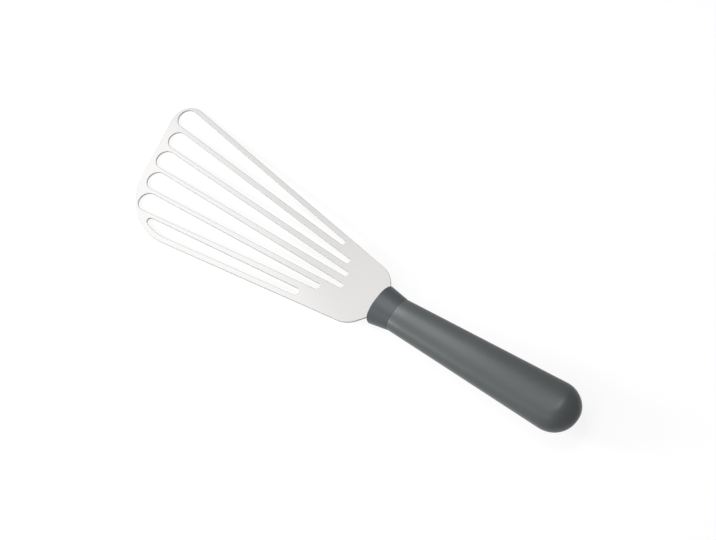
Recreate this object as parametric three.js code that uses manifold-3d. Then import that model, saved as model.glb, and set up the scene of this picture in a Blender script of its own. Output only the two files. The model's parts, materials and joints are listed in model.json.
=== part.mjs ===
// A cookie spatula: a slotted stainless blade whose tang is held in a hard moulded handle core,
// with a matt grip moulded over the core. Millimetres, +Z up, as it lies on a worktop.

import * as THREE from 'three';
import { mergeVertices } from 'three/addons/utils/BufferGeometryUtils.js';
import Module from 'manifold-3d';

const wasm = await Module();
wasm.setup();

// The tool's own axes: X runs forward from the collar's mouth along the handle's axis, Y goes to the
// blade's short side and Z through the sheet, whose middle plane holds the handle's axis.

// Blade outline
const BLADE_THICKNESS = 1;
const BLADE_REACH = 153; // mouth to front edge, along the axis
const LONG_SIDE_START = 15.1; // axis to the long edge, at the mouth
const LONG_SIDE_FLARE = 9.46; // degrees
const SHORT_SIDE_START = 15.9; // axis to the short edge, at the mouth
const SHORT_SIDE_FLARE = 6.14; // degrees
const FRONT_SLANT = 13.1; // degrees that the front edge leans back towards the short side
const TIP_RADIUS = 9.4; // corner of the long edge and the front
const HEEL_RADIUS = 32; // corner of the short edge and the front
const LONG_SHOULDER_START = 8.7; // axis to the long side's shoulder, at the mouth
const SHORT_SHOULDER_START = 7.1; // axis to the short side's shoulder, at the mouth
const SHOULDER_ANGLE = 51; // degrees
const SHOULDER_RADIUS = 13;

// Slots, which lie between bars that fan out from a point on the handle's axis
const FAN_CENTRE = 99.5; // behind the mouth
const FAN_FIRST = -6.135; // degrees, of the bar next to the long side
const FAN_STEP = 2.742; // degrees from bar to bar
const BAR_WIDTH_BACK = 2.9; // at the back gauge line
const BAR_WIDTH_FRONT = 1.9; // at the front gauge line
const EDGE_BAR_WIDTH_BACK = 2.6; // along the long edge
const EDGE_BAR_WIDTH_FRONT = 2.4;
const HEEL_BAR_WIDTH = 2.5; // along the short edge and round the heel
const HEEL_SLOT_END_RADIUS = 2.1;
const BACK_GAUGE = 39; // mouth to the back gauge line
const FRONT_GAUGE = 139; // mouth to the front gauge line
const SLOT_STARTS = [36, 27.5, 23.8, 22, 31.8, 39]; // mouth to each slot's back end
const SLOT_FRONT_RIMS = [2.8, 3.7, 2.8, 3.8, 5]; // front edge to each full slot's front end

// Tang
const TANG_LENGTH = 75;
const TANG_WIDTH = 10;
const TANG_END_RADIUS = 2;
const TANG_ROOT_RADIUS = 1.5;
const TANG_HOLE_DIAMETER = 5;
const TANG_HOLE_PITCH = 20;
const TANG_HOLE_COUNT = 3;

// Handle, an oval in section
const HANDLE_LENGTH = 117.3; // mouth to the butt's end
const SECTION_POWER = 2.35; // 2 is an ellipse, more is squarer
const COLLAR_LENGTH = 11.1;
const RIM_WIDTH = 20.7;
const RIM_HEIGHT = 14.2;
const RIM_RADIUS = 1;
const WAIST_WIDTH = 17.2;
const WAIST_HEIGHT = 10.9;
const BUTT_WIDTH = 24.9;
const BUTT_HEIGHT = 14.8;
const BUTT_CAP_LENGTH = 13.3;
const SEAM_RADIUS = 0.4; // rounding of both edges at the crease
const GRIP_WALL = 1.8;
const CLEARANCE = 0.3; // between neighbouring pieces

// Smoothness
const ARC_STEPS = 8;
const RING_STEPS = 40;
const EDGE_STEPS = 4;
const FLARE_STEPS = 6;
const GRIP_STEPS = 6;
const CAP_STEPS = 9;

const { degToRad, lerp } = THREE.MathUtils;
const RIGHT_ANGLE = Math.PI / 2;

// A straight edge in plan: a point on it, and the angle and unit vector of its direction.
function edge(x, y, angle) {
  return { point: new THREE.Vector2(x, y), angle, along: new THREE.Vector2(Math.cos(angle), Math.sin(angle)) };
}

function edgeThrough(a, b) {
  return edge(a.x, a.y, Math.atan2(b.y - a.y, b.x - a.x));
}

// The same edge moved to the left of its direction.
function movedLeft({ point, angle, along }, distance) {
  return edge(point.x - along.y * distance, point.y + along.x * distance, angle);
}

function meeting(a, b) {
  const reach = b.point.clone().sub(a.point).cross(b.along) / a.along.cross(b.along);
  return a.point.clone().addScaledVector(a.along, reach);
}

// A closed path through corners, each rounded by an arc that touches both of its sides.
function roundedPath(path, corners) {
  const count = corners.length;
  corners.forEach(({ at, radius }, i) => {
    const toPrevious = corners[(i + count - 1) % count].at.clone().sub(at).normalize();
    const toNext = corners[(i + 1) % count].at.clone().sub(at).normalize();
    const half = Math.acos(toPrevious.dot(toNext)) / 2;
    const inward = toPrevious.clone().add(toNext).normalize();
    const centre = at.clone().addScaledVector(inward, radius / Math.sin(half));
    const first = at.clone().addScaledVector(toPrevious, radius / Math.tan(half)).sub(centre);
    const last = at.clone().addScaledVector(toNext, radius / Math.tan(half)).sub(centre);
    path.absarc(centre.x, centre.y, radius, first.angle(), last.angle(), first.cross(last) < 0);
  });
  return path;
}

// The blade's straight edges, each running away from the handle, and the front from tip to heel
const longEdge = edge(0, -LONG_SIDE_START, -degToRad(LONG_SIDE_FLARE));
const shortEdge = edge(0, SHORT_SIDE_START, degToRad(SHORT_SIDE_FLARE));
const frontEdge = edge(BLADE_REACH, 0, RIGHT_ANGLE + degToRad(FRONT_SLANT));
const longShoulder = edge(0, -LONG_SHOULDER_START, -degToRad(SHOULDER_ANGLE));
const shortShoulder = edge(0, SHORT_SHOULDER_START, degToRad(SHOULDER_ANGLE));

// The tang's two sides and its end, with room left round them where a clearance is given.
function tangCorners(clearance) {
  const half = TANG_WIDTH / 2 + clearance;
  const longSide = edge(0, -half, 0);
  const shortSide = edge(0, half, 0);
  const end = -TANG_LENGTH - clearance;
  return {
    shortEnd: { at: new THREE.Vector2(end, half), radius: TANG_END_RADIUS },
    longEnd: { at: new THREE.Vector2(end, -half), radius: TANG_END_RADIUS },
    longRoot: { at: meeting(longSide, movedLeft(longShoulder, -clearance)), radius: TANG_ROOT_RADIUS },
    shortRoot: { at: meeting(shortSide, movedLeft(shortShoulder, clearance)), radius: TANG_ROOT_RADIUS },
  };
}

function tangHole(i, radius) {
  return new THREE.Path().absarc(-(i + 1) * TANG_HOLE_PITCH, 0, radius, 0, 2 * Math.PI);
}

// The two sides of a bar of the fan, which narrows evenly from the back gauge line to the front one.
function bar(i) {
  const angle = degToRad(FAN_FIRST + i * FAN_STEP);
  const middle = edge(-FAN_CENTRE, 0, angle);
  const atBack = middle.point.clone().addScaledVector(middle.along, FAN_CENTRE + BACK_GAUGE);
  const atFront = middle.point.clone().addScaledVector(middle.along, FAN_CENTRE + FRONT_GAUGE);
  const across = new THREE.Vector2(-middle.along.y, middle.along.x);
  const side = (sign) => edgeThrough(
    atBack.clone().addScaledVector(across, sign * BAR_WIDTH_BACK / 2),
    atFront.clone().addScaledVector(across, sign * BAR_WIDTH_FRONT / 2),
  );
  return { longSide: side(-1), shortSide: side(1) };
}

// The slot wall beside the long edge, at the edge bar's width from it at both gauge lines.
function longEdgeWall() {
  const inset = (gauge, width) => meeting(movedLeft(longEdge, width), edge(gauge, 0, RIGHT_ANGLE));
  return edgeThrough(inset(BACK_GAUGE, EDGE_BAR_WIDTH_BACK), inset(FRONT_GAUGE, EDGE_BAR_WIDTH_FRONT));
}

// The walls of a slot open forward from the point where they would meet. A circle on their middle line
// touches both if its radius is spread times its distance from that point.
function wedge(longWall, shortWall) {
  const spread = Math.sin((shortWall.angle - longWall.angle) / 2);
  const middle = edge(0, 0, (longWall.angle + shortWall.angle) / 2);
  const apex = meeting(longWall, shortWall);
  const circle = (distance) => ({
    centre: apex.clone().addScaledVector(middle.along, distance),
    radius: spread * distance,
  });
  return { spread, apex, along: middle.along, circle };
}

function arc(path, { centre, radius }, from, to) {
  path.absarc(centre.x, centre.y, radius, from, to, false);
}

function backRound({ spread, apex, along, circle }, start) {
  return circle((start - apex.x) / (along.x - spread));
}

// A slot with a full round at each end, its front end at a rim's width from the front edge.
function fullSlot(longWall, shortWall, start, frontRim) {
  const slot = wedge(longWall, shortWall);
  const limit = movedLeft(frontEdge, frontRim);
  const forward = new THREE.Vector2(limit.along.y, -limit.along.x);
  const room = limit.point.clone().sub(slot.apex).dot(forward);
  const path = new THREE.Path();
  arc(path, slot.circle(room / (slot.along.dot(forward) + slot.spread)),
    longWall.angle - RIGHT_ANGLE, shortWall.angle + RIGHT_ANGLE);
  arc(path, backRound(slot, start), shortWall.angle + RIGHT_ANGLE, longWall.angle + 3 * RIGHT_ANGLE);
  return path;
}

// The slot beside the short edge, whose outer wall follows the heel's curve to a small front end.
function heelSlot(longWall, start) {
  const shortWall = movedLeft(shortEdge, -HEEL_BAR_WIDTH);
  const heel = {
    centre: meeting(movedLeft(shortEdge, -HEEL_RADIUS), movedLeft(frontEdge, HEEL_RADIUS)),
    radius: HEEL_RADIUS - HEEL_BAR_WIDTH,
  };
  const track = movedLeft(longWall, HEEL_SLOT_END_RADIUS);
  const offset = heel.centre.clone().sub(track.point);
  const chord = Math.sqrt((heel.radius - HEEL_SLOT_END_RADIUS) ** 2 - offset.cross(track.along) ** 2);
  const end = {
    centre: track.point.clone().addScaledVector(track.along, offset.dot(track.along) + chord),
    radius: HEEL_SLOT_END_RADIUS,
  };
  const touch = end.centre.clone().sub(heel.centre).angle();
  const path = new THREE.Path();
  arc(path, end, longWall.angle - RIGHT_ANGLE, touch);
  arc(path, heel, touch, shortWall.angle + RIGHT_ANGLE);
  arc(path, backRound(wedge(longWall, shortWall), start),
    shortWall.angle + RIGHT_ANGLE, longWall.angle + 3 * RIGHT_ANGLE);
  return path;
}

function slots() {
  const bars = SLOT_FRONT_RIMS.map((_, i) => bar(i));
  const longWalls = [longEdgeWall(), ...bars.map(({ shortSide }) => shortSide)];
  const full = SLOT_FRONT_RIMS.map((rim, i) => fullSlot(longWalls[i], bars[i].longSide, SLOT_STARTS[i], rim));
  return [...full, heelSlot(longWalls[full.length], SLOT_STARTS[full.length])];
}

// A flat plate of a shape, centred on the blade's middle plane.
function plate(shape, thickness) {
  const settings = { depth: thickness, bevelEnabled: false, curveSegments: ARC_STEPS };
  return new THREE.ExtrudeGeometry(shape, settings).translate(0, 0, -thickness / 2);
}

function bladeGeometry() {
  const tang = tangCorners(0);
  const shape = roundedPath(new THREE.Shape(), [
    tang.longEnd,
    tang.longRoot,
    { at: meeting(longShoulder, longEdge), radius: SHOULDER_RADIUS },
    { at: meeting(longEdge, frontEdge), radius: TIP_RADIUS },
    { at: meeting(frontEdge, shortEdge), radius: HEEL_RADIUS },
    { at: meeting(shortEdge, shortShoulder), radius: SHOULDER_RADIUS },
    tang.shortRoot,
    tang.shortEnd,
  ]);
  shape.holes.push(...slots());
  for (let i = 0; i < TANG_HOLE_COUNT; i += 1) {
    shape.holes.push(tangHole(i, TANG_HOLE_DIAMETER / 2));
  }
  return plate(shape, BLADE_THICKNESS);
}

// The room for the tang in the core, which opens at the mouth along the blade's shoulders. Round plugs are
// left standing in it, where the moulding fills the tang's holes.
function tangRoom() {
  const tang = tangCorners(CLEARANCE);
  const mouth = edge(RIM_RADIUS, 0, RIGHT_ANGLE);
  const longMouth = meeting(mouth, movedLeft(longShoulder, -CLEARANCE));
  const shortMouth = meeting(mouth, movedLeft(shortShoulder, CLEARANCE));
  const shape = roundedPath(new THREE.Shape(), [
    tang.longEnd,
    tang.longRoot,
    { at: longMouth, radius: CLEARANCE },
    { at: shortMouth, radius: CLEARANCE },
    tang.shortRoot,
    tang.shortEnd,
  ]);
  for (let i = 0; i < TANG_HOLE_COUNT; i += 1) {
    shape.holes.push(tangHole(i, TANG_HOLE_DIAMETER / 2 - CLEARANCE));
  }
  return plate(shape, BLADE_THICKNESS + 2 * CLEARANCE);
}

// An oval section of the handle, drawn in by an inset all round.
function section(x, width, height, inset) {
  return { x, halfWidth: width / 2 - inset, halfHeight: height / 2 - inset };
}

function collarSection(x, inset) {
  const flare = -x / COLLAR_LENGTH;
  return section(x, lerp(RIM_WIDTH, WAIST_WIDTH, flare), lerp(RIM_HEIGHT, WAIST_HEIGHT, flare), inset);
}

// The grip's straight taper ends where its round cap begins.
const TAPER_END = HANDLE_LENGTH - BUTT_CAP_LENGTH;

function gripSection(x, inset) {
  const taper = (-x - COLLAR_LENGTH) / (TAPER_END - COLLAR_LENGTH);
  return section(x, lerp(WAIST_WIDTH, BUTT_WIDTH, taper), lerp(WAIST_HEIGHT, BUTT_HEIGHT, taper), inset);
}

// Numbers evenly spaced from one value to another, both included.
function spaced(from, to, steps) {
  return Array.from({ length: steps + 1 }, (_, i) => lerp(from, to, i / steps));
}

// The grip's form from a given X back to its round end, drawn in by an inset.
function gripRun(fromX, inset) {
  const taper = spaced(fromX, -TAPER_END, GRIP_STEPS).map((x) => gripSection(x, inset));
  const butt = taper[GRIP_STEPS];
  const cap = spaced(0, RIGHT_ANGLE, CAP_STEPS).slice(1, -1).map((turn) => ({
    x: -TAPER_END - (BUTT_CAP_LENGTH - inset) * Math.sin(turn),
    halfWidth: butt.halfWidth * Math.cos(turn),
    halfHeight: butt.halfHeight * Math.cos(turn),
  }));
  return { sections: [...taper, ...cap], end: inset - HANDLE_LENGTH };
}

// A skin over a row of oval sections, closed at each end round a point on the axis.
function loft(startX, sections, endX) {
  const ring = spaced(0, 2 * Math.PI, RING_STEPS).slice(0, -1);
  const oval = (value) => Math.sign(value) * Math.abs(value) ** (2 / SECTION_POWER);
  const positions = [startX, 0, 0];
  sections.forEach(({ x, halfWidth, halfHeight }) => {
    ring.forEach((turn) => {
      positions.push(x, halfWidth * oval(Math.cos(turn)), halfHeight * oval(Math.sin(turn)));
    });
  });
  positions.push(endX, 0, 0);
  const vertex = (i, j) => 1 + i * RING_STEPS + (j % RING_STEPS);
  const lastRing = sections.length - 1;
  const lastPoint = vertex(lastRing, RING_STEPS - 1) + 1;
  const triangles = [];
  ring.forEach((_, j) => {
    triangles.push(0, vertex(0, j), vertex(0, j + 1));
    for (let i = 0; i < lastRing; i += 1) {
      triangles.push(vertex(i, j), vertex(i + 1, j), vertex(i, j + 1));
      triangles.push(vertex(i, j + 1), vertex(i + 1, j), vertex(i + 1, j + 1));
    }
    triangles.push(lastPoint, vertex(lastRing, j + 1), vertex(lastRing, j));
  });
  const geometry = new THREE.BufferGeometry();
  geometry.setAttribute('position', new THREE.Float32BufferAttribute(positions, 3));
  geometry.setIndex(triangles);
  return geometry;
}

function solid(geometry) {
  geometry.deleteAttribute('normal');
  geometry.deleteAttribute('uv');
  const merged = mergeVertices(geometry);
  const vertProperties = new Float32Array(merged.attributes.position.array);
  const triVerts = new Uint32Array(merged.index.array);
  return new wasm.Manifold(new wasm.Mesh({ numProp: 3, vertProperties, triVerts }));
}

function cut(geometry, cutter) {
  const { vertProperties, triVerts } = solid(geometry).subtract(solid(cutter)).getMesh();
  const result = new THREE.BufferGeometry();
  result.setAttribute('position', new THREE.BufferAttribute(vertProperties, 3));
  result.setIndex(new THREE.BufferAttribute(triVerts, 1));
  return result;
}

// The collar with its rounded rim and the core behind it, in one moulding.
function coreGeometry() {
  const turns = spaced(0, RIGHT_ANGLE, EDGE_STEPS);
  const rim = turns.map((turn) => collarSection(
    RIM_RADIUS * (Math.cos(turn) - 1),
    RIM_RADIUS * (1 - Math.sin(turn)),
  ));
  const flare = spaced(-RIM_RADIUS, SEAM_RADIUS - COLLAR_LENGTH, FLARE_STEPS).slice(1, -1)
    .map((x) => collarSection(x, 0));
  const seam = turns.map((turn) => collarSection(
    SEAM_RADIUS * (1 - Math.sin(turn)) - COLLAR_LENGTH,
    SEAM_RADIUS * (1 - Math.cos(turn)),
  ));
  const core = gripRun(-COLLAR_LENGTH, GRIP_WALL + CLEARANCE);
  return cut(loft(0, [...rim, ...flare, ...seam, ...core.sections], core.end), tangRoom());
}

// The grip, a sleeve that is open at the crease and closed at the butt.
function gripGeometry() {
  const front = -COLLAR_LENGTH - CLEARANCE;
  const inside = gripRun(front, GRIP_WALL);
  const outside = gripRun(front - SEAM_RADIUS, 0);
  const seam = spaced(0, RIGHT_ANGLE, EDGE_STEPS).slice(0, -1).map((turn) => gripSection(
    front - SEAM_RADIUS * (1 - Math.cos(turn)),
    SEAM_RADIUS * (1 - Math.sin(turn)),
  ));
  return loft(inside.end, [...inside.sections.reverse(), ...seam, ...outside.sections], outside.end);
}

function piece(name, geometry, color, roughness, metalness) {
  const mesh = new THREE.Mesh(geometry, new THREE.MeshStandardMaterial({ color, roughness, metalness }));
  mesh.name = name;
  geometry.computeVertexNormals();
  return mesh;
}

const tool = new THREE.Group();
const blade = piece('blade', bladeGeometry(), 0xd9dadb, 0.28, 1);
tool.add(blade);
tool.add(piece('handle_core', coreGeometry(), 0x55595c, 0.5, 0));
tool.add(piece('grip', gripGeometry(), 0x66696b, 0.6, 0));

// On a worktop the tool lies on the collar's rim and the blade's tip.
blade.geometry.computeBoundingBox();
const tipReach = blade.geometry.boundingBox.max.x + RIM_RADIUS;
tool.rotation.y = Math.atan2((RIM_HEIGHT - BLADE_THICKNESS) / 2, tipReach);

// The origin is on the worktop, under the middle of the tool.
const spatula = new THREE.Group();
spatula.add(tool);
const box = new THREE.Box3().setFromObject(spatula, true);
const middle = box.getCenter(new THREE.Vector3());
tool.position.set(-middle.x, -middle.y, -box.min.z);

export default spatula;
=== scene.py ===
import json

import bpy
import numpy as np
from mathutils import Matrix
from mathutils.geometry import tessellate_polygon


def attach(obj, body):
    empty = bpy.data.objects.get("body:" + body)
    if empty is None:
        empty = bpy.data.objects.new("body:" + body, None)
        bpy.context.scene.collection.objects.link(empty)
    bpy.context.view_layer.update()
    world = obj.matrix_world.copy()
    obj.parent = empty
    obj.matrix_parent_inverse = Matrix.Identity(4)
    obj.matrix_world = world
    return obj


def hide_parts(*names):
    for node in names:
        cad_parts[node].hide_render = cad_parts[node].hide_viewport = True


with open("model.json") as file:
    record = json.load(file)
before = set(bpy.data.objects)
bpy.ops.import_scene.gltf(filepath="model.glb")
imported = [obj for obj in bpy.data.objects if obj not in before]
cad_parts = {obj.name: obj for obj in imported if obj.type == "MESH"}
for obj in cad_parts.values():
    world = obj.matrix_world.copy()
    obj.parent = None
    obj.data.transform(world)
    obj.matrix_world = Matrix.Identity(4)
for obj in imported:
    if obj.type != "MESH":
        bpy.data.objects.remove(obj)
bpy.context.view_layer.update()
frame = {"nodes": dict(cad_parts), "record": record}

# Blade
# One stamped sheet of stainless steel with six slots that fan out from the handle, and a tang that runs
# back into the handle. Its faces are polished to a soft satin. Its edges show the duller cut through the
# sheet, with the corners tumbled round. The edges' greyer and darker colour is painted shade, standing for
# dark reflections.

MM = 0.001
SHEET_THICKNESS = 1.0
EDGE_RADIUS = 0.3
EDGE_STEPS = 6
ARC_STEPS = 24

# Outline, in millimetres and degrees: X runs forward from the collar's mouth along the handle's axis, and
# Y to the blade's short side.
BLADE_REACH = 153.0
LONG_SIDE_START = 15.1
LONG_SIDE_FLARE = 9.46
SHORT_SIDE_START = 15.9
SHORT_SIDE_FLARE = 6.14
FRONT_SLANT = 13.1
TIP_RADIUS = 9.4
HEEL_RADIUS = 32.0
LONG_SHOULDER_START = 8.7
SHORT_SHOULDER_START = 7.1
SHOULDER_ANGLE = 51.0
SHOULDER_RADIUS = 13.0
TANG_LENGTH = 75.0
TANG_WIDTH = 10.0
TANG_END_RADIUS = 2.0
TANG_ROOT_RADIUS = 1.5

# Slots, between bars that fan out from a point on the handle's axis. Each bar has its own angle to that
# axis, and its own widths at a back and a front gauge line.
FAN_CENTRE = 99.5
BACK_GAUGE = 39.0
FRONT_GAUGE = 139.0
BAR_ANGLES = [-6.065, -3.42, -0.69, 2.07, 4.85]
BAR_WIDTHS = [(3.25, 2.25), (2.95, 2.0), (3.4, 1.85), (3.0, 1.85), (3.5, 1.75)]
EDGE_BAR_WIDTHS = (2.6, 2.4)
HEEL_BAR_WIDTH = 2.9
HEEL_SLOT_END_RADIUS = 1.7
SLOT_STARTS = [36.0, 27.5, 23.8, 22.0, 31.8, 39.0]
SLOT_FRONT_RIMS = [3.0, 3.95, 2.95, 3.95, 5.1]

# Points of an outline that are nearer to each other than this, in millimetres, are one point.
SAME_POINT = 1e-6

# The tool lies tilted on the floor. Its own axes come from the blade's top face, and their origin is the
# middle of the collar's mouth.
blade_top = next(mount for mount in frame["record"]["mounts"] if mount["name"] == "blade_top")
tool_up = np.array(blade_top["axis"]) / np.linalg.norm(blade_top["axis"])
tool_axes = np.array([[tool_up[2], 0, -tool_up[0]], [0, 1, 0], tool_up])
core_mesh = frame["nodes"]["handle_core"].data
core_points = np.empty((len(core_mesh.vertices), 3), np.float32)
core_mesh.vertices.foreach_get("co", core_points.ravel())
core_points = core_points @ tool_axes.T
core_low, core_high = core_points.min(axis=0), core_points.max(axis=0)
core_middle = (core_low + core_high) / 2
mouth = np.array([core_high[0], core_middle[1], core_middle[2]])


def placed(points):
    """Points in the tool's axes, in millimetres, as points of the frame in metres: shifted to the mouth,
    then turned by the tool's axes."""
    return (np.asarray(points) * MM + mouth) @ tool_axes


def line(x, y, degrees):
    """A straight line in the sheet's plane, as a point on it and its unit direction."""
    turn = np.radians(degrees)
    return np.array([x, y]), np.array([np.cos(turn), np.sin(turn)])


def line_through(a, b):
    """The straight line from one point towards another."""
    return a, (b - a) / np.linalg.norm(b - a)


def left_of(direction):
    """A direction turned a quarter to the left."""
    return np.array([-direction[1], direction[0]])


def moved_left(a_line, distance):
    """The same line, moved square to its direction towards its left."""
    point, along = a_line
    return point + distance * left_of(along), along


def meeting(a, b):
    """Where two lines cross: the first line's point, moved along it by a ratio of two cross products."""
    reach = (b[0] - a[0]) @ left_of(b[1]) / (a[1] @ left_of(b[1]))
    return a[0] + reach * a[1]


def angle_of(direction):
    """The angle of a direction, in radians."""
    return np.arctan2(direction[1], direction[0])


def arc(centre, radius, start, end):
    """Points round a centre from one angle to another, with normals to the right of the way round: away
    from the centre on a left-hand turn and towards it on a right-hand turn."""
    turn = np.linspace(start, end, ARC_STEPS + 1)
    radial = np.stack([np.cos(turn), np.sin(turn)], axis=1)
    return centre + radius * radial, np.sign(end - start) * radial


def loop(arcs):
    """Arcs joined by straight runs into one closed row of points and normals. Where an arc starts on the
    end of the one before, their shared point is kept once."""
    points, normals = [np.concatenate(rows) for rows in zip(*arcs)]
    apart = np.linalg.norm(points - np.roll(points, 1, axis=0), axis=1) > SAME_POINT
    return points[apart], normals[apart]


def rounded(corners):
    """A closed outline with an arc at each corner that touches both sides: its centre is on the corner's
    bisector, at the radius over the sine of half the angle."""
    at = np.array([corner for corner, _ in corners])
    radius = np.array([radius for _, radius in corners])[:, None]
    back = np.roll(at, 1, axis=0) - at
    back /= np.linalg.norm(back, axis=1, keepdims=True)
    ahead = np.roll(back, -1, axis=0) * -1
    half = np.arccos((back * ahead).sum(axis=1, keepdims=True)) / 2
    bisector = (back + ahead) / np.linalg.norm(back + ahead, axis=1, keepdims=True)
    centre = at + bisector * radius / np.sin(half)
    first = at + back * radius / np.tan(half) - centre
    last = at + ahead * radius / np.tan(half) - centre
    start = np.arctan2(first[:, 1], first[:, 0])
    sweep = np.arctan2(last[:, 1], last[:, 0]) - start
    sweep = (sweep + np.pi) % (2 * np.pi) - np.pi
    return loop([arc(*values) for values in zip(centre, radius, start, start + sweep)])


long_edge = line(0, -LONG_SIDE_START, -LONG_SIDE_FLARE)
short_edge = line(0, SHORT_SIDE_START, SHORT_SIDE_FLARE)
front_edge = line(BLADE_REACH, 0, 90 + FRONT_SLANT)
long_shoulder = line(0, -LONG_SHOULDER_START, -SHOULDER_ANGLE)
short_shoulder = line(0, SHORT_SHOULDER_START, SHOULDER_ANGLE)
tang_long_side = line(0, -TANG_WIDTH / 2, 0)
tang_short_side = line(0, TANG_WIDTH / 2, 0)
tang_end = line(-TANG_LENGTH, 0, 90)

outline = rounded([
    (meeting(tang_long_side, tang_end), TANG_END_RADIUS),
    (meeting(tang_long_side, long_shoulder), TANG_ROOT_RADIUS),
    (meeting(long_shoulder, long_edge), SHOULDER_RADIUS),
    (meeting(long_edge, front_edge), TIP_RADIUS),
    (meeting(front_edge, short_edge), HEEL_RADIUS),
    (meeting(short_edge, short_shoulder), SHOULDER_RADIUS),
    (meeting(tang_short_side, short_shoulder), TANG_ROOT_RADIUS),
    (meeting(tang_short_side, tang_end), TANG_END_RADIUS),
])


def bar_sides(degrees, widths):
    """The long and short side of a bar of the fan: off its middle line by half its width at both gauge
    lines."""
    centre, along = line(-FAN_CENTRE, 0, degrees)
    at_gauges = centre + np.outer([FAN_CENTRE + BACK_GAUGE, FAN_CENTRE + FRONT_GAUGE], along)
    half = np.outer(widths, left_of(along)) / 2
    return line_through(*(at_gauges - half)), line_through(*(at_gauges + half))


def edge_bar_side():
    """The slot wall along the long edge, at the edge bar's width from it at both gauge lines."""
    gauges = [line(BACK_GAUGE, 0, 90), line(FRONT_GAUGE, 0, 90)]
    back, front = [
        meeting(moved_left(long_edge, width), gauge) for width, gauge in zip(EDGE_BAR_WIDTHS, gauges)]
    return line_through(back, front)


def touching(long_wall, short_wall, limit_point, towards):
    """The circle that touches both walls of a slot, and ends at a limit in a direction. On the middle line,
    a circle's radius is its distance from the walls' meeting point times the sine of half their angle."""
    apex = meeting(long_wall, short_wall)
    middle = (long_wall[1] + short_wall[1]) / np.linalg.norm(long_wall[1] + short_wall[1])
    spread = np.sin((angle_of(short_wall[1]) - angle_of(long_wall[1])) / 2)
    distance = (limit_point - apex) @ towards / (middle @ towards + spread)
    return apex + distance * middle, spread * distance


def back_arc(long_wall, short_wall, start):
    """The full round at a slot's back end."""
    circle = touching(long_wall, short_wall, np.array([start, 0]), np.array([-1, 0]))
    return arc(*circle, angle_of(long_wall[1]) + 1.5 * np.pi, angle_of(short_wall[1]) + 0.5 * np.pi)


def full_slot(long_wall, short_wall, start, rim):
    """A slot with a full round at each end, its front a rim's width behind the front edge."""
    limit, along_front = moved_left(front_edge, rim)
    circle = touching(long_wall, short_wall, limit, -left_of(along_front))
    front = arc(*circle, angle_of(short_wall[1]) + 0.5 * np.pi, angle_of(long_wall[1]) - 0.5 * np.pi)
    return loop([back_arc(long_wall, short_wall, start), front])


def heel_slot(long_wall, start):
    """The slot along the short edge. Its outer wall keeps the bar's width from the heel's round, and its
    small front end touches that wall and the long one."""
    short_wall = moved_left(short_edge, -HEEL_BAR_WIDTH)
    heel = meeting(moved_left(short_edge, -HEEL_RADIUS), moved_left(front_edge, HEEL_RADIUS))
    heel_wall = HEEL_RADIUS - HEEL_BAR_WIDTH
    track, along = moved_left(long_wall, HEEL_SLOT_END_RADIUS)
    offset = heel - track
    chord = np.sqrt((heel_wall - HEEL_SLOT_END_RADIUS) ** 2 - (offset @ left_of(along)) ** 2)
    end = track + (offset @ along + chord) * along
    touch = angle_of(end - heel)
    return loop([
        back_arc(long_wall, short_wall, start),
        arc(heel, heel_wall, angle_of(short_wall[1]) + 0.5 * np.pi, touch),
        arc(end, HEEL_SLOT_END_RADIUS, touch, angle_of(long_wall[1]) - 0.5 * np.pi),
    ])


bars = [bar_sides(*values) for values in zip(BAR_ANGLES, BAR_WIDTHS)]
long_walls = [edge_bar_side()] + [short_side for _, short_side in bars]
short_walls = [long_side for long_side, _ in bars]
slots = [full_slot(*values) for values in zip(long_walls, short_walls, SLOT_STARTS, SLOT_FRONT_RIMS)]
slots.append(heel_slot(long_walls[-1], SLOT_STARTS[-1]))


def grid_faces(rows, columns, first):
    """Quads over a grid of vertices whose columns run round a closed ring."""
    row, column = np.meshgrid(np.arange(rows - 1), np.arange(columns), indexing="ij")
    beside = (column + 1) % columns
    corners = [row * columns + column, (row + 1) * columns + column,
               (row + 1) * columns + beside, row * columns + beside]
    return (first + np.stack(corners, axis=-1)).reshape(-1, 4).tolist()


def sheet_surface(loops):
    """The sheet's surface. Its edge section, a quarter round, the cut wall and a quarter round, is an inset
    against the loop's normal and a height, and is carried along each loop. The rings at both ends of the
    section bound the flat faces. Two rows of flags say which faces are on the edge and on its cut wall."""
    turn = np.linspace(0, np.pi / 2, EDGE_STEPS + 1)
    inset = EDGE_RADIUS * (1 - np.sin(turn))
    height = SHEET_THICKNESS / 2 - EDGE_RADIUS * (1 - np.cos(turn))
    inset = np.concatenate([inset, inset[::-1]])
    height = np.concatenate([height, -height[::-1]])
    rows = len(inset)
    vertices, edge_faces, cut_wall, top_ring, under_ring, face_loops = [], [], [], [], [], []
    first = 0
    for points, normals in loops:
        plan = points - inset[:, None, None] * normals
        count = len(points)
        heights = np.broadcast_to(height[:, None, None], (rows, count, 1))
        vertices.append(np.concatenate([plan, heights], axis=2).reshape(-1, 3))
        edge_faces += grid_faces(rows, count, first)
        cut_wall.append(np.repeat(np.arange(rows - 1) == EDGE_STEPS, count))
        top_ring.append(first + np.arange(count))
        under_ring.append(first + (rows - 1) * count + np.arange(count))
        face_loops.append(np.column_stack([plan[0], np.zeros(count)]).tolist())
        first += rows * count
    vertices = np.concatenate(vertices)
    top_ring, under_ring = np.concatenate(top_ring), np.concatenate(under_ring)
    triangles = np.array(tessellate_polygon(face_loops))
    a, b, c = np.moveaxis(vertices[top_ring[triangles]][..., :2], 1, 0)
    turned = ((b - a)[:, 0] * (c - a)[:, 1] - (b - a)[:, 1] * (c - a)[:, 0]) < 0
    triangles[turned] = triangles[turned][:, ::-1]
    flat_faces = top_ring[triangles].tolist() + under_ring[triangles[:, ::-1]].tolist()
    on_edge = np.repeat([True, False], [len(edge_faces), len(flat_faces)])
    on_wall = np.concatenate([*cut_wall, np.zeros(len(flat_faces), bool)])
    return vertices, edge_faces + flat_faces, on_edge, on_wall


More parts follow.
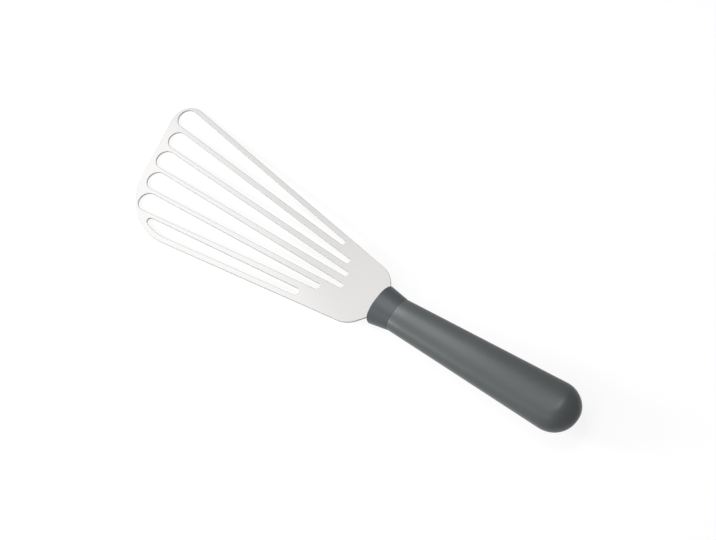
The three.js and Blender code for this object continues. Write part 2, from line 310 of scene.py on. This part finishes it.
def add_piece(name, vertices, faces, smooth):
    """A mesh piece with its place in its vertices."""
    mesh = bpy.data.meshes.new(name)
    mesh.from_pydata(placed(vertices), [], faces)
    mesh.polygons.foreach_set("use_smooth", smooth)
    piece = bpy.data.objects.new(name, mesh)
    bpy.context.scene.collection.objects.link(piece)
    return piece


def linear(colour):
    """A colour written as sRGB hex, as linear red, green, blue and alpha."""
    srgb = np.array([int(colour[i:i + 2], 16) for i in (1, 3, 5)]) / 255
    return *np.where(srgb <= 0.04045, srgb / 12.92, ((srgb + 0.055) / 1.055) ** 2.4), 1.0


def add_node(tree, kind, inputs, **settings):
    """A node with its settings, and with a value or another node's output on each input."""
    node = tree.nodes.new(kind)
    for name, value in settings.items():
        setattr(node, name, value)
    for socket, value in inputs.items():
        if isinstance(value, bpy.types.NodeSocket):
            tree.links.new(value, node.inputs[socket])
        else:
            node.inputs[socket].default_value = value
    return node


def new_material(name):
    """An empty node material, with its tree."""
    material = bpy.data.materials.new(name)
    material.use_nodes = True
    material.node_tree.nodes.clear()
    return material, material.node_tree


# Most values of a noise texture lie between these two.
NOISE_LOW = 0.3
NOISE_HIGH = 0.7


def satin_stainless_steel():
    """Rolled stainless sheet, polished along its length: a bright mirror softened by fine lines, which
    change its gloss from line to line, over faint waves in the sheet. Its tumbled corners are duller, and
    the greyer colour of the corners and the darker one of the cut wall are painted shade, standing for dark
    reflections. Real polishing lines are finer, and are drawn this wide to show."""
    # The corner and wall colours are painted shade: darker greys that stand for dark reflections on the
    # edges.
    face_colour, painted_shade_corner_colour, painted_shade_wall_colour = linear("#dad9d8"), linear("#bdbcbb"), linear("#888786")
    smoothest_line, roughest_line, edge_roughness = 0.094, 0.106, 0.8
    line_width, line_length = 0.5 * MM, 40 * MM
    wave_size, wave_depth = 30 * MM, 0.005 * MM
    material, tree = new_material("satin_stainless_steel")
    place = add_node(tree, "ShaderNodeTexCoord", {}).outputs["Object"]
    stretched = add_node(tree, "ShaderNodeMapping", {
        "Vector": place, "Scale": (1 / line_length, 1 / line_width, 1 / line_width)})
    lines = add_node(tree, "ShaderNodeTexNoise", {
        "Vector": stretched.outputs["Vector"], "Scale": 1.0, "Detail": 3.0, "Roughness": 0.6})
    waves = add_node(tree, "ShaderNodeTexNoise", {"Vector": place, "Scale": 1 / wave_size, "Detail": 1.0})
    edge = add_node(tree, "ShaderNodeAttribute", {}, attribute_name="cut_edge").outputs["Fac"]
    wall = add_node(tree, "ShaderNodeAttribute", {}, attribute_name="cut_wall").outputs["Fac"]
    gloss = add_node(tree, "ShaderNodeMapRange", {
        "Value": lines.outputs["Fac"], "From Min": NOISE_LOW, "From Max": NOISE_HIGH,
        "To Min": smoothest_line, "To Max": roughest_line})
    roughness = add_node(tree, "ShaderNodeMix", {
        "Factor": edge, "A": gloss.outputs["Result"], "B": edge_roughness})
    # This colour mix lays the painted shade on the corners and the cut wall.
    painted_shade_edge_colour = add_node(tree, "ShaderNodeMix", {
        "Factor": wall, "A": painted_shade_corner_colour, "B": painted_shade_wall_colour}, data_type="RGBA")
    colour = add_node(tree, "ShaderNodeMix", {
        "Factor": edge, "A": face_colour, "B": painted_shade_edge_colour.outputs["Result"]}, data_type="RGBA")
    ripple = add_node(tree, "ShaderNodeBump", {
        "Height": waves.outputs["Fac"], "Strength": 1.0, "Distance": wave_depth})
    shader = add_node(tree, "ShaderNodeBsdfPrincipled", {
        "Base Color": colour.outputs["Result"], "Metallic": 1.0, "Roughness": roughness.outputs["Result"],
        "Normal": ripple.outputs["Normal"]})
    add_node(tree, "ShaderNodeOutputMaterial", {"Surface": shader.outputs["BSDF"]})
    return material


sheet_vertices, sheet_faces, on_edge, on_wall = sheet_surface([outline] + slots)
blade = add_piece("blade_sheet", sheet_vertices, sheet_faces, on_edge)
for flag_name, flags in (("cut_edge", on_edge), ("cut_wall", on_wall)):
    face_flags = blade.data.attributes.new(flag_name, "FLOAT", "FACE")
    face_flags.data.foreach_set("value", flags.astype(np.float32))
blade.data.materials.append(satin_stainless_steel())
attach(blade, "root")
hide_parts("blade")

# Handle core
# The first shot of the moulded handle, in hard polypropylene. Its collar flares forward round the blade's
# root, and its core runs back inside the grip and holds the tang.

# Sizes in millimetres, a width and a height where there are two. The section's power says how square the
# oval is: at 2 it is an ellipse.
HANDLE_LENGTH = 117.3
SECTION_POWER = 2.35
COLLAR_LENGTH = 11.1
RIM_SIZE = np.array([20.7, 14.2])
RIM_RADIUS = 0.45
WAIST_SIZE = np.array([17.2, 10.9])
BUTT_SIZE = np.array([24.9, 14.8])
BUTT_CAP_LENGTH = 13.3
BUTT_TOP_ROUND = 9.3
SEAM_RADIUS = 0.06
GRIP_WALL = 1.8
RING_STEPS = 128
ROUND_STEPS = 8
TAPER_STEPS = 12
CAP_STEPS = 24


def collar_half(x):
    """Half the collar's width and height at X, growing evenly from the waist to the rim."""
    flare = -np.asarray(x)[:, None] / COLLAR_LENGTH
    return (RIM_SIZE + (WAIST_SIZE - RIM_SIZE) * flare) / 2


def grip_half(x):
    """Half the grip's width and height at X, growing evenly from the waist to the butt's cap."""
    taper_end = HANDLE_LENGTH - BUTT_CAP_LENGTH
    taper = (-np.asarray(x)[:, None] - COLLAR_LENGTH) / (taper_end - COLLAR_LENGTH)
    return (WAIST_SIZE + (BUTT_SIZE - WAIST_SIZE) * taper) / 2


def grip_run(start, inset):
    """X and half sizes of the grip's form from a start to its pole, drawn in by an inset: the straight
    taper, then a cap that is an ellipse in plan. Seen from the side its round is shorter, so the top stays
    flat for longer."""
    taper_end = BUTT_CAP_LENGTH - HANDLE_LENGTH
    taper_x = np.linspace(start, taper_end, TAPER_STEPS + 1)
    taper_half = grip_half(taper_x) - inset
    turn = np.linspace(0, np.pi / 2, CAP_STEPS + 1)[1:-1]
    reach = (BUTT_CAP_LENGTH - inset) * np.sin(turn)
    top_round = BUTT_TOP_ROUND - inset
    into_round = np.clip(reach - (BUTT_CAP_LENGTH - BUTT_TOP_ROUND), 0, None) / top_round
    cap_half = taper_half[-1] * np.stack([np.cos(turn), np.sqrt(1 - into_round ** 2)], axis=1)
    return np.concatenate([taper_x, taper_end - reach]), np.concatenate([taper_half, cap_half])


def oval_skin(start, x, half, end):
    """A closed skin over oval rings. A ring's width goes with the cosine and its height with the sine of
    the turn, each raised to two over the section's power with its sign kept. Each end closes on a point of
    the axis."""
    turn = np.linspace(0, 2 * np.pi, RING_STEPS, endpoint=False)
    circle = np.stack([np.cos(turn), np.sin(turn)], axis=1)
    oval = np.sign(circle) * np.abs(circle) ** (2 / SECTION_POWER)
    rings = np.empty((len(x), RING_STEPS, 3))
    rings[..., 0] = x[:, None]
    rings[..., 1:] = half[:, None, :] * oval
    vertices = np.concatenate([[(start, 0, 0)], rings.reshape(-1, 3), [(end, 0, 0)]])
    around = np.arange(RING_STEPS)
    beside = (around + 1) % RING_STEPS
    first_pole, first_ring = np.zeros_like(around), 1
    last_pole, last_ring = np.full_like(around, len(vertices) - 1), 1 + (len(x) - 1) * RING_STEPS
    first_cap = np.stack([first_pole, first_ring + around, first_ring + beside], axis=1)
    last_cap = np.stack([last_pole, last_ring + beside, last_ring + around], axis=1)
    return vertices, grid_faces(len(x), RING_STEPS, first_ring) + first_cap.tolist() + last_cap.tolist()


def moulded_plastic(name, dark, light, drift_size, smoothest, roughest):
    """A plastic whose mould gave it a fine even grain, which breaks up the gloss, and whose colour drifts
    slightly with the flow of the moulding. Real grain is finer, and is drawn this coarse to show."""
    grain_size, grain_depth = 0.9 * MM, 0.015 * MM
    material, tree = new_material(name)
    place = add_node(tree, "ShaderNodeTexCoord", {}).outputs["Object"]
    grain = add_node(tree, "ShaderNodeTexNoise", {"Vector": place, "Scale": 1 / grain_size, "Detail": 2.0})
    drift = add_node(tree, "ShaderNodeTexNoise", {"Vector": place, "Scale": 1 / drift_size, "Detail": 2.0})
    colour = add_node(tree, "ShaderNodeMix", {
        "Factor": drift.outputs["Fac"], "A": linear(dark), "B": linear(light)}, data_type="RGBA")
    gloss = add_node(tree, "ShaderNodeMapRange", {
        "Value": grain.outputs["Fac"], "From Min": NOISE_LOW, "From Max": NOISE_HIGH,
        "To Min": smoothest, "To Max": roughest})
    relief = add_node(tree, "ShaderNodeBump", {
        "Height": grain.outputs["Fac"], "Strength": 1.0, "Distance": grain_depth})
    shader = add_node(tree, "ShaderNodeBsdfPrincipled", {
        "Base Color": colour.outputs["Result"], "Roughness": gloss.outputs["Result"], "IOR": 1.42,
        "Normal": relief.outputs["Normal"]})
    add_node(tree, "ShaderNodeOutputMaterial", {"Surface": shader.outputs["BSDF"]})
    return material


def moulded_polypropylene():
    """Hard grey polypropylene from a spark-eroded mould: a bluish dark grey on which streaks of light
    spread into soft bands."""
    return moulded_plastic("moulded_polypropylene", dark="#414448", light="#45494d", drift_size=9 * MM,
                           smoothest=0.365, roughest=0.425)


def core_skin():
    """The rim's quarter round, the straight flare to the crease, a small quarter round, and the core."""
    turn = np.linspace(0, np.pi / 2, ROUND_STEPS + 1)
    rim_x = RIM_RADIUS * (np.cos(turn) - 1)
    seam_x = SEAM_RADIUS * (1 - np.sin(turn)) - COLLAR_LENGTH
    flare_x = np.linspace(-RIM_RADIUS, SEAM_RADIUS - COLLAR_LENGTH, TAPER_STEPS + 1)[1:-1]
    core_x, core_half = grip_run(-COLLAR_LENGTH, GRIP_WALL)
    x = np.concatenate([rim_x, flare_x, seam_x, core_x])
    half = np.concatenate([
        collar_half(rim_x) - RIM_RADIUS * (1 - np.sin(turn))[:, None],
        collar_half(flare_x),
        collar_half(seam_x) - SEAM_RADIUS * (1 - np.cos(turn))[:, None],
        core_half,
    ])
    return oval_skin(0, x, half, GRIP_WALL - HANDLE_LENGTH)


core_vertices, core_faces = core_skin()
core = add_piece("collar_and_core", core_vertices, core_faces, [True] * len(core_faces))
core.data.materials.append(moulded_polypropylene())
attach(core, "root")
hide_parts("handle_core")

# Grip
# The second shot of the handle, a matt sleeve moulded over the core from the crease to the closed round
# butt. It is a softer plastic than the collar, a little lighter and warmer in colour.

# The sleeve's inside stays this far off the core, in millimetres, so that the two skins don't meet.
GRIP_FIT = 0.02


def matt_elastomer():
    """Grey thermoplastic elastomer from a blasted mould: a plain dark grey with no sharp reflections, on
    which a lamp shows as a long soft streak."""
    return moulded_plastic("matt_elastomer", dark="#45494a", light="#4b4f50", drift_size=14 * MM,
                           smoothest=0.33, roughest=0.39)


def grip_skin():
    """The sleeve's inside from its pole to the crease, the quarter round of its front edge, and its
    outside."""
    turn = np.linspace(0, np.pi / 2, ROUND_STEPS + 1)[:-1]
    front = -COLLAR_LENGTH - GRIP_FIT
    inner_x, inner_half = grip_run(front, GRIP_WALL - GRIP_FIT)
    seam_x = front - SEAM_RADIUS * (1 - np.cos(turn))
    outer_x, outer_half = grip_run(front - SEAM_RADIUS, 0)
    x = np.concatenate([inner_x[::-1], seam_x, outer_x])
    half = np.concatenate([
        inner_half[::-1],
        grip_half(seam_x) - SEAM_RADIUS * (1 - np.sin(turn))[:, None],
        outer_half,
    ])
    return oval_skin(GRIP_WALL - GRIP_FIT - HANDLE_LENGTH, x, half, -HANDLE_LENGTH)


grip_vertices, grip_faces = grip_skin()
grip = add_piece("grip_sleeve", grip_vertices, grip_faces, [True] * len(grip_faces))
grip.data.materials.append(matt_elastomer())
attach(grip, "root")
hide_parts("grip")

# Floor and light
# A white studio table under a bright tent, with lamps that draw soft streaks along the handle. What the
# camera and the steel see of the table and the tent is white, and the table keeps a faint shadow.

# The table's size is in metres. The rest are shares of full light, apart from the tent's bright side, a
# direction in the frame's axes, and how far round from it, as a cosine, the tent is darkest.
FLOOR_SIZE = 4.0
FLOOR_WHITE = 0.8
FLOOR_GLOW = 0.87
FLOOR_SHADE = 0.16
TENT_BRIGHT_SIDE = (0.45, 0.87, 0.2)
TENT_DARK_FROM = -0.3
TENT_LEAST = 0.02


def seen_directly(tree):
    """One for camera, glossy and transmission rays, and zero for the light that falls on surfaces."""
    path = add_node(tree, "ShaderNodeLightPath", {})
    straight_or_glossy = add_node(tree, "ShaderNodeMath", {
        0: path.outputs["Is Camera Ray"], 1: path.outputs["Is Glossy Ray"]}, operation="MAXIMUM")
    return add_node(tree, "ShaderNodeMath", {
        0: straight_or_glossy.outputs["Value"], 1: path.outputs["Is Transmission Ray"]},
        operation="MAXIMUM").outputs["Value"]


def white_table():
    """White laminate. Seen directly it glows to just white, and a small share of its own shade stays."""
    material, tree = new_material("white_table")
    seen = seen_directly(tree)
    colour = add_node(tree, "ShaderNodeMix", {
        "Factor": seen, "A": (FLOOR_WHITE, FLOOR_WHITE, FLOOR_WHITE, 1),
        "B": (FLOOR_SHADE, FLOOR_SHADE, FLOOR_SHADE, 1)}, data_type="RGBA")
    glow = add_node(tree, "ShaderNodeMath", {0: seen, 1: FLOOR_GLOW}, operation="MULTIPLY")
    shader = add_node(tree, "ShaderNodeBsdfPrincipled", {
        "Base Color": colour.outputs["Result"], "Roughness": 1.0, "Specular IOR Level": 0.0,
        "Emission Color": (1, 1, 1, 1), "Emission Strength": glow.outputs["Value"]})
    add_node(tree, "ShaderNodeOutputMaterial", {"Surface": shader.outputs["BSDF"]})
    return material


floor_mesh = bpy.data.meshes.new("table")
floor_half = FLOOR_SIZE / 2
floor_mesh.from_pydata([(-floor_half, -floor_half, 0), (floor_half, -floor_half, 0),
                        (floor_half, floor_half, 0), (-floor_half, floor_half, 0)], [], [(0, 1, 2, 3)])
floor_mesh.materials.append(white_table())
table = bpy.data.objects.new("table", floor_mesh)
bpy.context.scene.collection.objects.link(table)


def light_tent():
    """The tent's light: brightest on its bright side, beyond the blade's short side, and falling off evenly
    with the cosine of the angle from there. Seen directly it is white."""
    world = bpy.data.worlds.new("light_tent")
    world.use_nodes = True
    tree = world.node_tree
    tree.nodes.clear()
    towards = add_node(tree, "ShaderNodeTexCoord", {}).outputs["Generated"]
    cosine = add_node(tree, "ShaderNodeVectorMath", {
        0: towards, 1: TENT_BRIGHT_SIDE}, operation="DOT_PRODUCT")
    level = add_node(tree, "ShaderNodeMapRange", {
        "Value": cosine.outputs["Value"], "From Min": TENT_DARK_FROM, "From Max": 1.0,
        "To Min": TENT_LEAST, "To Max": 1.0})
    strength = add_node(tree, "ShaderNodeMix", {
        "Factor": seen_directly(tree), "A": level.outputs["Result"], "B": 1.0})
    background = add_node(tree, "ShaderNodeBackground", {
        "Color": (1, 1, 1, 1), "Strength": strength.outputs["Result"]})
    add_node(tree, "ShaderNodeOutputWorld", {"Surface": background.outputs["Background"]})
    return world


bpy.context.scene.world = light_tent()


def add_lamp(name, kind, aim, towards, distance, watts, **settings):
    """A lamp that faces a point of the handle's axis, at a distance from it in a direction of the tool's
    axes. The aim is in millimetres, and the distance and the lamp's own sizes are in metres."""
    towards = np.array(towards) / np.linalg.norm(towards)
    data = bpy.data.lights.new(name, kind)
    data.energy = watts
    for setting, value in settings.items():
        setattr(data, setting, value)
    lamp = bpy.data.objects.new(name, data)
    bpy.context.scene.collection.objects.link(lamp)
    lamp.visible_camera = False
    back = towards @ tool_axes
    right = np.cross((0, 0, 1), back)
    right /= np.linalg.norm(right)
    place = placed(towards * distance / MM + (aim, 0, 0))
    turn = np.column_stack([right, np.cross(back, right), back, place])
    lamp.matrix_world = Matrix(np.vstack([turn, (0, 0, 0, 1)]))


# The snooted lamp and the side lamp draw the two streaks on the front of the grip, and the two top lamps
# those on the collar. The butt lamp gives the soft highlight on the butt, and the soft panel a broad glow.
add_lamp("snooted_lamp", "SPOT", aim=-28, towards=(0.637, -0.256, 0.727), distance=3.0, watts=94.0,
         shadow_soft_size=0.02, spot_size=np.radians(2.0), spot_blend=1.0)
add_lamp("side_lamp", "AREA", aim=0, towards=(0.75, 0.487, 0.447), distance=0.45, watts=1.5,
         shape="DISK", size=0.11)
add_lamp("front_top_lamp", "AREA", aim=0, towards=(0.15, -0.26, 0.954), distance=1.5, watts=4.0,
         shape="DISK", size=0.35)
add_lamp("side_top_lamp", "AREA", aim=0, towards=(0.15, 0.497, 0.855), distance=1.5, watts=1.06,
         shape="DISK", size=0.35)
add_lamp("butt_lamp", "AREA", aim=-110, towards=(0.45, -0.03, 0.89), distance=0.2, watts=0.033,
         shape="DISK", size=0.095)
add_lamp("soft_panel", "AREA", aim=0, towards=(0.65, 0.17, 0.74), distance=3.0, watts=7.4,
         shape="DISK", size=2.8)

# Camera
# A long lens from behind the handle on the blade's short side, high over the table. Its place, in
# millimetres, and its directions are in the tool's axes.

CAMERA_LENS = 150
CAMERA_SENSOR = 36
CAMERA_PLACE = (-673.790, 345.260, 1184.484)
CAMERA_RIGHT = np.array([-0.75491851, -0.60072297, -0.26311587])
CAMERA_UP = np.array([0.43588766, -0.75936283, 0.48308388])

camera_data = bpy.data.cameras.new("photo_view")
camera_data.lens = CAMERA_LENS
camera_data.sensor_width = CAMERA_SENSOR
camera = bpy.data.objects.new("photo_view", camera_data)
bpy.context.scene.collection.objects.link(camera)
camera_turn = np.array([CAMERA_RIGHT, CAMERA_UP, np.cross(CAMERA_RIGHT, CAMERA_UP)]) @ tool_axes
camera_place = np.column_stack([*camera_turn, placed(CAMERA_PLACE)])
camera.matrix_world = Matrix(np.vstack([camera_place, (0, 0, 0, 1)]))
bpy.context.scene.camera = camera
bpy.context.scene.view_settings.view_transform = "Standard"
